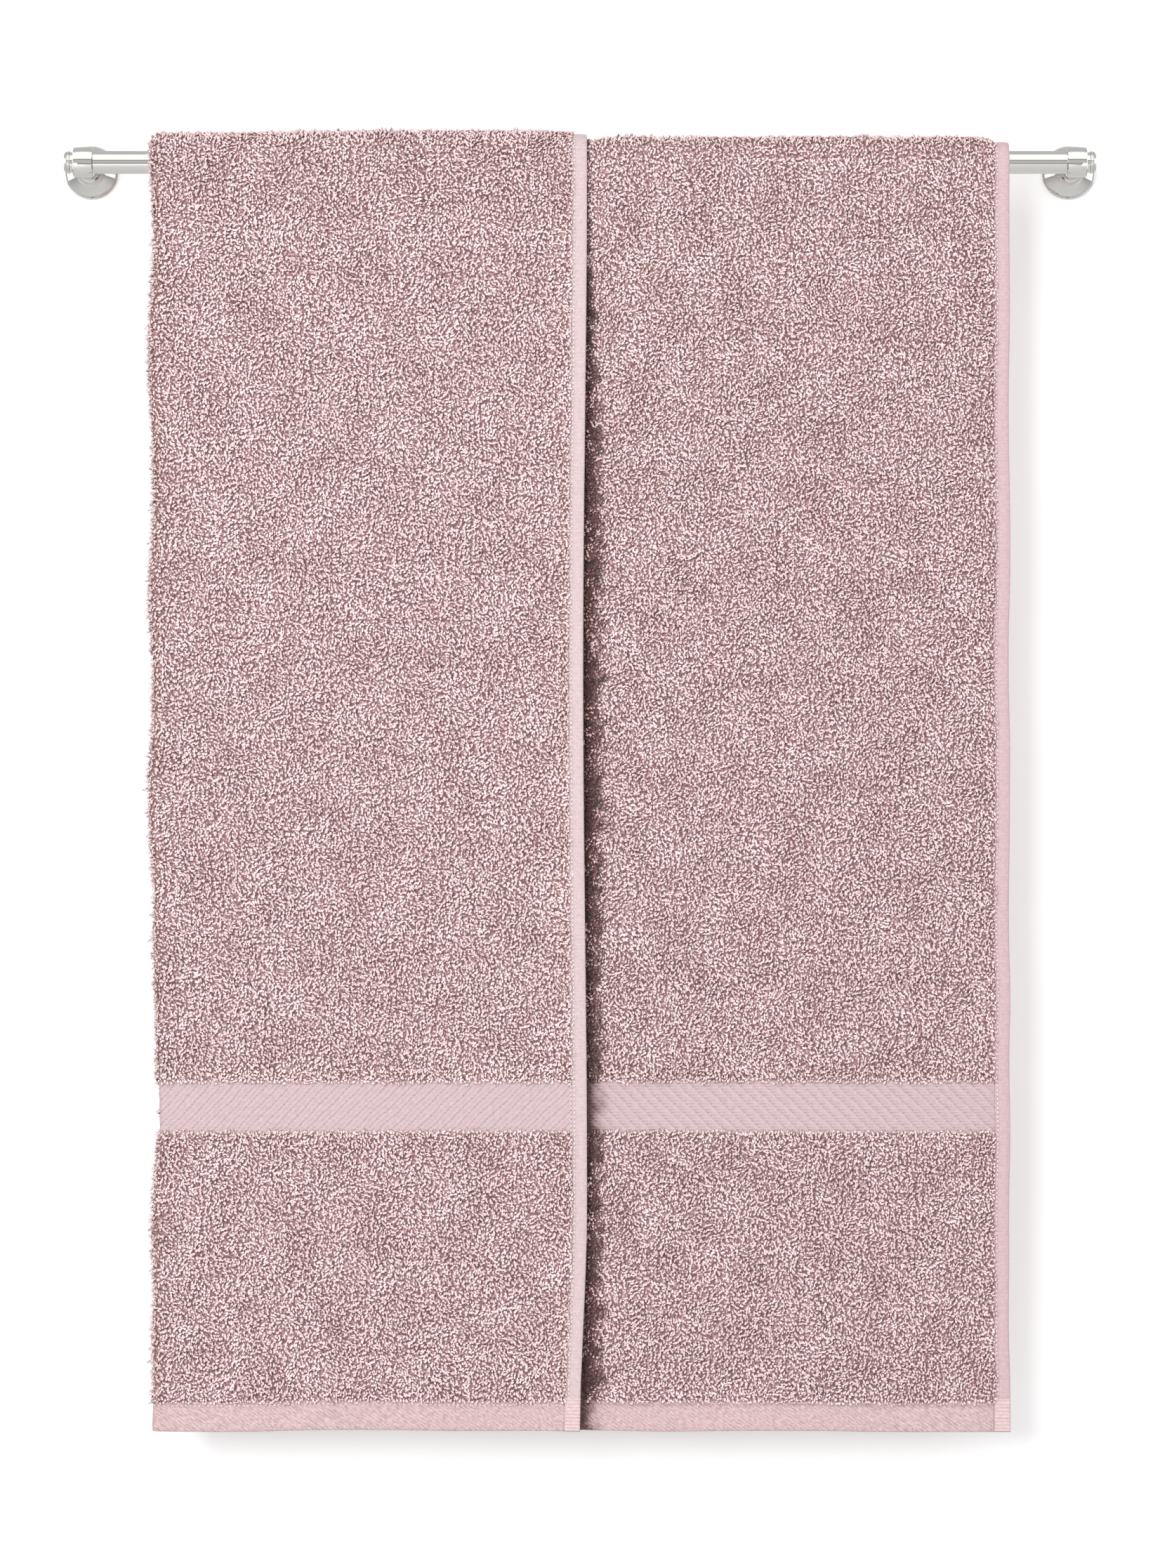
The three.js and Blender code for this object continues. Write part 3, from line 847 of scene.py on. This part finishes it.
def cloth_axes(across, along, height, face):
    """Points of the cloth with their three directions: across, along and out of the given face."""
    step = 0.6
    place = cloth_point(across, along, height)
    out = (cloth_point(across, along, height + step) - place) * face
    out /= np.linalg.norm(out, axis=1)[:, None]
    side = cloth_point(across + step, along, height) - place
    side -= out * np.sum(side * out, axis=1)[:, None]
    side /= np.linalg.norm(side, axis=1)[:, None]
    return place, side, np.cross(out, side) * face, out


class TOWEL_OT_stitching(bpy.types.Operator):
    """Sew the hems with single threads"""

    bl_idname = "towel.stitching"
    bl_label = "Hem stitching"

    def execute(self, context):
        pitch = sizes().stitch_pitch
        sunk = sizes().hem_thickness / 2 - 0.2
        along = np.arange(END_FRONT + 17, END_BACK - 17, pitch)
        for name, across in (("right_hem_stitches", SEAM_IN), ("flap_hem_stitches", ACROSS_END - SEAM_IN),
                             ("flap_hem_edge_stitches", ACROSS_END - SIDE_HEM - 0.1)):
            self.row(name, across + 0 * along, along, sunk, (1, -1), "over")
        across = np.arange(SIDE_HEM + 1, ACROSS_END - SIDE_HEM, pitch)
        for name, along, zone in (("front_end_stitches", END_FRONT + END_SEAM_IN, "front_drop"),
                                  ("back_end_stitches", END_BACK - END_SEAM_IN, "towel")):
            self.row(name, across, along + 0 * across, sunk - 0.22, (-1,), zone)
        return {"FINISHED"}

    def row(self, name, across, along, height, faces, zone):
        """A row of stitches, each a short round-ended thread, on the faces given."""
        thread = seed_shape(4, 3)
        shape = thread[0] * np.array([sizes().stitch_length / 2, 0.42, 0.34])
        places = []
        for face in faces:
            place, side, up, out = cloth_axes(across, along, face * height + 0 * across, face)
            # A side hem's rows run along the cloth, and an end hem's rows run across it.
            axes = (up, side, out) if zone == "over" else (side, up, out)
            offsets = [axis[:, None] * shape[None, :, i:i + 1] for i, axis in enumerate(axes)]
            places.append(place[:, None] + offsets[0] + offsets[1] + offsets[2])
        add_to_cloth(name, repeat_mesh(name, thread, np.concatenate(places)), "thread", zone)


# ---- the pile ----


def jittered_grid(rng, across, along, pitch):
    """Places about a pitch apart in a rectangle of the flat cloth, in staggered rows, each moved a little."""
    columns = np.arange(across[0] + pitch / 2, across[1], pitch)
    rows = np.arange(along[0] + pitch / 2, along[1], pitch)
    u, t = np.meshgrid(columns, rows)
    u = u + (np.arange(len(rows)) % 2)[:, None] * pitch / 2
    u = (u + rng.uniform(-0.42, 0.42, u.shape) * pitch).ravel()
    t = (t + rng.uniform(-0.42, 0.42, t.shape) * pitch).ravel()
    keep = (u > across[0]) & (u < across[1])
    return u[keep], t[keep]


def hashed(a, b, seed):
    """A number from 0 to 1 for each pair of whole numbers, the same every time."""
    value = np.sin(a * 127.1 + b * 311.7 + seed * 74.7) * 43758.5453
    return value - np.floor(value)


def nearest_tuft(across, along, size):
    """For each place, the way to its tuft's middle, two numbers that the tuft's loops share, and how far."""
    column = np.floor(across / size)
    row = np.floor(along / size)
    best = np.full(across.shape, 1e9)
    way = np.zeros((len(across), 2))
    own = np.zeros((len(across), 2))
    for a, b in ((column + i, row + j) for i in (-1, 0, 1) for j in (-1, 0, 1)):
        du = (a + 0.15 + 0.7 * hashed(a, b, 1)) * size - across
        dt = (b + 0.15 + 0.7 * hashed(a, b, 2)) * size - along
        nearer = du * du + dt * dt < best
        best = np.where(nearer, du * du + dt * dt, best)
        way = np.where(nearer[:, None], np.stack([du, dt], axis=1), way)
        own = np.where(nearer[:, None], np.stack([hashed(a, b, 3), hashed(a, b, 4)], axis=1), own)
    return way, own, np.sqrt(best)


def grow_pile(loop, seed, name, across, along, face, zone, pitch):
    """One patch of looped pile on one face of the cloth, each loop lying over in its tuft's own way."""
    size = sizes()
    rng = np.random.default_rng(seed)
    u, t = jittered_grid(rng, across, along, pitch)
    count = len(u)
    grow = min(pitch / size.loop_pitch, 1.6)  # where loops stand wider apart, each is larger
    way, own, far = nearest_tuft(u, t, size.tuft_size)
    place, side, up, out = cloth_axes(u, t, np.full(count, face * size.ground_thickness / 2), face)

    length = size.loop_length * grow * rng.uniform(0.75, 1.3, count)
    width = size.loop_width * grow * rng.uniform(0.8, 1.2, count)
    edge = np.clip(far / (size.tuft_size * 0.6), 0, 1)
    rise = size.loop_rise * (1.12 - 0.5 * edge + 0.2 * own[:, 1]) * (1 + 0.12 * TUFTS(u, t))
    tall = rng.uniform(0, 1, count) < 0.12
    rise = rise * np.where(tall, rng.uniform(1.2, 1.6, count), rng.uniform(0.8, 1.15, count))
    at_fold = smooth(u, TURN_START - 8, TURN_START) * smooth(-u, -TURN_END - 8, -TURN_END)
    rise = rise * (1 + 0.35 * at_fold)
    yaw = pi / 2 + 1.6 * (own[:, 0] - 0.5) + SWIRL(u, t) + rng.normal(0, 0.35, count)
    lean = rng.normal(0, 0.5, count)
    curl = rng.uniform(-0.9, 0.9, count)
    length, width, rise, yaw, lean, curl = (v[:, None] for v in (length, width, rise, yaw, lean, curl))

    # Each loop's points: x runs along the yarn, y lies beside it and z stands up.
    x, y, z = (loop[0][:, i][None] for i in range(3))
    arch = 1 - x * x
    run = x * length / 2
    aside = y * width / 2 + curl * arch * length * 0.25
    rising = arch * rise * 0.72 + z * width * 0.42
    tipped = aside * np.cos(lean) + rising * np.sin(lean)
    rising = rising * np.cos(lean) - 0.35 * aside * np.sin(lean)
    share = np.clip(rising / size.loop_rise, 0, 1.3)
    in_u = run * np.cos(yaw) - tipped * np.sin(yaw) + way[:, 0:1] * 0.28 * share
    in_t = run * np.sin(yaw) + tipped * np.cos(yaw) + way[:, 1:2] * 0.28 * share
    points = (place[:, None] + side[:, None] * in_u[..., None] + up[:, None] * in_t[..., None]
              + out[:, None] * np.maximum(rising, -0.1)[..., None])
    points[..., 2] -= size.pile_fall * share ** 2 * (1 - np.abs(out[:, 2:3]))

    # The shade, mostly painted light: a painted highlight along the top of the yarn and on its higher parts,
    # and painted shade at its ends and between tufts. Each loop and tuft is also lighter or darker at random,
    # in slow patches, and the shade is darker within 50 mm of the rail.
    ridge = 0.95 + 0.72 * z - 0.43 * x * x
    shade = ridge + 0.3 * (share - 0.5) + 0.36 * (own[:, 1:2] - 0.5) - 0.22 * edge[:, None]
    near_rail = 1 - smooth(np.maximum(-t, t - OVER_BASE), 0, 50)
    patches_and_rail_darkening = 0.2 * PATCHES(u, t) - (0.16 if face < 0 else 0.03) * near_rail
    shade = shade + (rng.normal(0, 0.12, count) + patches_and_rail_darkening)[:, None]
    # Painted shadow on the base layer's pile beside the flap's edge.
    if face > 0:
        shade = shade - (1.4 - 0.5 * own[:, 1:2]) * flap_edge_painted_shadow(u, t)[:, None]
    mesh = repeat_mesh(name, loop, points, np.clip(shade, -1, 1))
    add_to_cloth(name, mesh, "pile", zone)


def pile_patches():
    """Every patch of pile: name, across, along, face, zone, pitch. Loops out of sight stand wider apart."""
    front, back, hidden, inside = (sizes().loop_pitch * wider for wider in (1, 1.42, 1.75, 2.1))
    field_front, field_back = BORDER_FRONT[1], BORDER_BACK[0]
    rim = 0.9  # how far the pile laps over the flat weave beside it
    edge = 15  # how far in the pile goes between the layers
    clear = 12  # left bare on the rail's side, each side of the rail
    flap = (TURN_START - 6, ACROSS_END - SIDE_HEM + rim)
    base = (SIDE_HEM - rim, EDGE_RIGHT + 14)
    tail_front = (HEM_FRONT - rim, BORDER_FRONT[0] + rim)
    tail_back = (BORDER_BACK[1] - rim, HEM_BACK + rim)
    patches = []
    for layer, across, face, over in (("flap", flap, -1, OVER_FLAP), ("base", base, 1, OVER_BASE)):
        half_front, half_back = field_front / 2, (over + field_back) / 2
        for part, along, zone, pitch in (
                ("front_pile_upper", (half_front, 0), "front_drop", front),
                ("front_pile_lower", (field_front - rim, half_front), "front_drop", front),
                ("front_pile_tail", tail_front, "front_drop", front),
                ("pile_over_rail", (0, over), "over", front),
                ("back_pile_upper", (over, half_back), "towel", back),
                ("back_pile_lower", (half_back, field_back + rim), "towel", back),
                ("back_pile_tail", tail_back, "towel", back)):
            patches.append((f"{layer}_{part}", across, along, face, zone, pitch))
    flap_inside = (ACROSS_END - SIDE_HEM - edge, ACROSS_END - SIDE_HEM)
    inner = (SIDE_HEM, TURN_START - 3)
    between = (base[1], flap_inside[0])
    return patches + [
        ("inner_front_pile", inner, (field_front, -clear), -1, "front_drop", inside),
        ("inner_front_pile_tail", inner, tail_front, -1, "front_drop", inside),
        ("inner_back_pile", inner, (OVER_BASE + clear, field_back), -1, "towel", inside),
        ("inner_back_pile_tail", inner, tail_back, -1, "towel", inside),
        ("flap_edge_inner_pile_front", flap_inside, (HEM_FRONT, 0), 1, "front_drop", hidden),
        ("flap_edge_inner_pile_back", flap_inside, (OVER_FLAP, HEM_BACK), 1, "towel", hidden),
        ("between_pile_above_front_hem", between, (HEM_FRONT, HEM_FRONT + edge), 1, "front_drop", hidden),
        ("between_pile_above_back_hem", between, (HEM_BACK - edge, HEM_BACK), 1, "towel", hidden),
    ]


class TOWEL_OT_pile(bpy.types.Operator):
    """Grow the looped pile on both faces of the cloth"""

    bl_idname = "towel.pile"
    bl_label = "Looped pile"

    def execute(self, context):
        loop = seed_shape(3, 2)
        for number, patch in enumerate(pile_patches()):
            grow_pile(loop, sizes().seed + number, *patch)
        return {"FINISHED"}


# ---- the stage ----


class TOWEL_OT_stage(bpy.types.Operator):
    """Set a white wall, a pale floor, soft lights and the camera"""

    bl_idname = "towel.stage"
    bl_label = "Stage, lights and camera"

    def execute(self, context):
        scene = context.scene
        scene.view_settings.view_transform = "Standard"
        scene.world = bpy.data.worlds.new("White studio")
        scene.world.use_nodes = True
        scene.world.node_tree.nodes.clear()
        # An even white room, seen brighter by the camera than it lights the towel.
        add = partial(add_node, scene.world.node_tree)
        strength = add("MapRange", add("LightPath", output="Is Camera Ray"), 0.0, 1.0, 0.6, 1.0)
        add("OutputWorld", add("Background", (1, 1, 1, 1), strength))
        upright = Matrix.Rotation(pi / 2, 4, "X")
        self.panel("studio_wall", 7, 5, (0, 0.0006, 0.6), upright, "wall")
        self.panel("studio_floor", 14, 14, (0, 0, -1.25), Matrix.Identity(4), "floor")
        self.softbox("key_softbox", (-1.0, -3.3, 0.12), 1.1, 1.1, 72)
        self.softbox("overhead_softbox", (0.0, -2.3, 1.5), 3.6, 1.9, 32)
        self.softbox("rear_softbox", (0.6, 2.6, 0.9), 2.4, 2.0, 55)
        # The tube mirrors what stands 20 to 80 degrees above its front as a white band over a dark line.
        self.card("white_card_above", 5, 2.5, (0, -1.41, 1.69), None, "white")
        self.card("black_card", 5, 0.13, (0, -2.1, 0.6), upright, "black")
        sideways = Matrix.Rotation(pi / 2, 4, "Y")
        for side, x in (("left", -1.7), ("right", 1.7)):
            self.card(f"white_card_{side}", 1.2, 3.2, (x, 0, 0.25), sideways, "white")
            self.card(f"low_card_{side}", 1.2, 0.9, (x * 0.75, -1.7, -0.75), None, "white")
        self.camera(scene)
        return {"FINISHED"}

    def panel(self, name, width, height, place, turn, finish):
        """A flat plate of the studio, made in metres."""
        made = bmesh.new()
        matrix = Matrix.Translation(place) @ turn @ Matrix.Diagonal((width / 2, height / 2, 1, 1))
        bmesh.ops.create_grid(made, x_segments=4, y_segments=4, size=1, matrix=matrix)
        mesh = finished(name, made)
        plate = bpy.data.objects.new(name, mesh)
        mesh.materials.append(material(finish))
        bpy.context.scene.collection.objects.link(plate)
        return plate

    def card(self, name, width, height, place, turn, finish):
        """A card that only the chrome mirrors; one with no turn faces the rail's middle."""
        turn = turn or self.aim(Vector(place) * -1)
        plate = self.panel(name, width, height, place, turn, finish)
        for seen_by in ("camera", "shadow", "diffuse", "transmission"):
            setattr(plate, f"visible_{seen_by}", False)

    def aim(self, way):
        """The turn that faces a plate or a lamp along the way given."""
        return way.to_track_quat("-Z", "Y").to_matrix().to_4x4()

    def softbox(self, name, place, width, height, power):
        """A large soft light aimed at the middle of the towel, which the chrome doesn't mirror."""
        light = bpy.data.lights.new(name, "AREA")
        light.shape = "RECTANGLE"
        light.size = width
        light.size_y = height
        light.energy = power
        lamp = bpy.data.objects.new(name, light)
        lamp.matrix_world = Matrix.Translation(place) @ self.aim(Vector((0, 0, -0.3)) - Vector(place))
        lamp.visible_camera = False
        lamp.visible_glossy = False
        bpy.context.scene.collection.objects.link(lamp)

    def camera(self, scene):
        """Square to the wall, at half the height of the view."""
        lens = bpy.data.cameras.new("front_camera")
        lens.lens = 137.6
        lens.sensor_width = 36
        view = bpy.data.objects.new("front_camera", lens)
        view.location = (0, -3.56, -0.363)
        view.rotation_euler = (pi / 2, 0, 0)
        scene.collection.objects.link(view)
        scene.camera = view


# ---- properties, panel and registration ----


class TowelSizes(bpy.types.PropertyGroup):
    """Sizes of the yarn, the weave and the way the towel hangs."""

    turned_sides: IntProperty(description="Sides of each turned part", default=72, min=24)
    seed: IntProperty(description="Changes how the loops fall", default=7, min=0)
    loop_pitch: millimetres(1.57, "Distance between neighbouring loops")
    loop_length: millimetres(3.6, "Length of a loop as it lies")
    loop_width: millimetres(1.5, "Width of a loop's twisted yarn")
    loop_rise: millimetres(2.9, "Height of a loop above the ground")
    tuft_size: millimetres(5.4, "Size of the clumps that the loops gather in")
    pile_fall: millimetres(0.7, "How far a loop's crown hangs below its root")
    ground_thickness: millimetres(0.8, "Thickness of the woven ground")
    hem_thickness: millimetres(2.1, "Thickness of a turned hem")
    rib_pitch: millimetres(5.0, "Distance between the border's ribs")
    hem_rib_pitch: millimetres(2.0, "Distance between a side hem's cross ribs")
    stitch_pitch: millimetres(2.6, "Distance between stitches")
    stitch_length: millimetres(1.9, "Length of a stitch on the surface")
    edge_lift: millimetres(5.5, "How far the flap's free edge stands away on the drop")
    edge_press: millimetres(1.3, "How far the flap's free edge sinks in over the rail")
    puff: millimetres(2.3, "How far the single layer swells over the rail")
    drop_wave: millimetres(3.0, "Depth of the slow waves in the drops")


class TowelColours(bpy.types.PropertyGroup):
    """Colours of the yarns and the metals."""

    # Painted shadow: the yarn's colour in the flap's shadow beside its edge.
    pile_painted_shadow: colour("#35251f", "The yarn pressed in beside the flap's edge")
    # One yarn in painted light: painted shade deep between the loops, a loop's side, and a painted highlight
    # on its crown.
    pile_root_shade: colour("#744a49", "The yarn deep between the loops")
    pile_body: colour("#ebc9c9", "The yarn on a loop's side")
    pile_crown_lit: colour("#fbe6e7", "The yarn on a loop's crown")
    ground: colour("#e2bfbe", "The woven ground below the pile")
    weave: colour("#d8c4c6", "The flap's flat-woven side hem")
    selvedge: colour("#d6babd", "The right-hand hem, which shows the cloth's other face")
    twill: colour("#dcc0c3", "The end hems, woven as a twill")
    block: colour("#e4cbcc", "The dense stitching in the hems' corners")
    border: colour("#cfb9bd", "The flat-woven border")
    # Both the dark gaps of the weave's pattern and painted shade in grooves, seams and beside the flap's
    # edge.
    weave_gaps_and_shade: colour("#5d423f", "Between the threads and ribs of the flat weave")
    thread: colour("#faebe8", "The sewing thread")
    chrome: colour("#e4e3e0", "Chrome plate")
    zinc: colour("#b4b9bd", "Zinc-plated screws")
    casting: colour("#9a9c9e", "Cast zinc wall plates")


class TOWEL_PT_panel(bpy.types.Panel):
    """Lists the towel's sizes, colours and pieces"""

    bl_idname = "TOWEL_PT_panel"
    bl_label = "Towel"
    bl_space_type = "VIEW_3D"
    bl_region_type = "UI"
    bl_category = "Towel"

    def draw(self, context):
        for group in (sizes(), colours()):
            for name in group.__annotations__:
                self.layout.prop(group, name, text=name.replace("_", " ").capitalize())
        for step in STEPS:
            self.layout.operator(step.bl_idname)


STEPS = (TOWEL_OT_rail, TOWEL_OT_fixings, TOWEL_OT_borders, TOWEL_OT_hems, TOWEL_OT_stitching, TOWEL_OT_pile,
         TOWEL_OT_ground, TOWEL_OT_stage)
CLASSES = (TowelSizes, TowelColours, *STEPS, TOWEL_PT_panel)


def register():
    for made in CLASSES:
        bpy.utils.register_class(made)
    bpy.types.Scene.towel_sizes = PointerProperty(type=TowelSizes)
    bpy.types.Scene.towel_colours = PointerProperty(type=TowelColours)


def unregister():
    del bpy.types.Scene.towel_colours
    del bpy.types.Scene.towel_sizes
    for made in reversed(CLASSES):
        bpy.utils.unregister_class(made)


def main():
    """Builds every piece in order."""
    register()
    bpy.ops.towel.rail()
    bpy.ops.towel.fixings()
    bpy.ops.towel.borders()
    bpy.ops.towel.hems()
    bpy.ops.towel.stitching()
    bpy.ops.towel.pile()
    bpy.ops.towel.ground()
    bpy.ops.towel.stage()


if __name__ == "__main__":
    main()
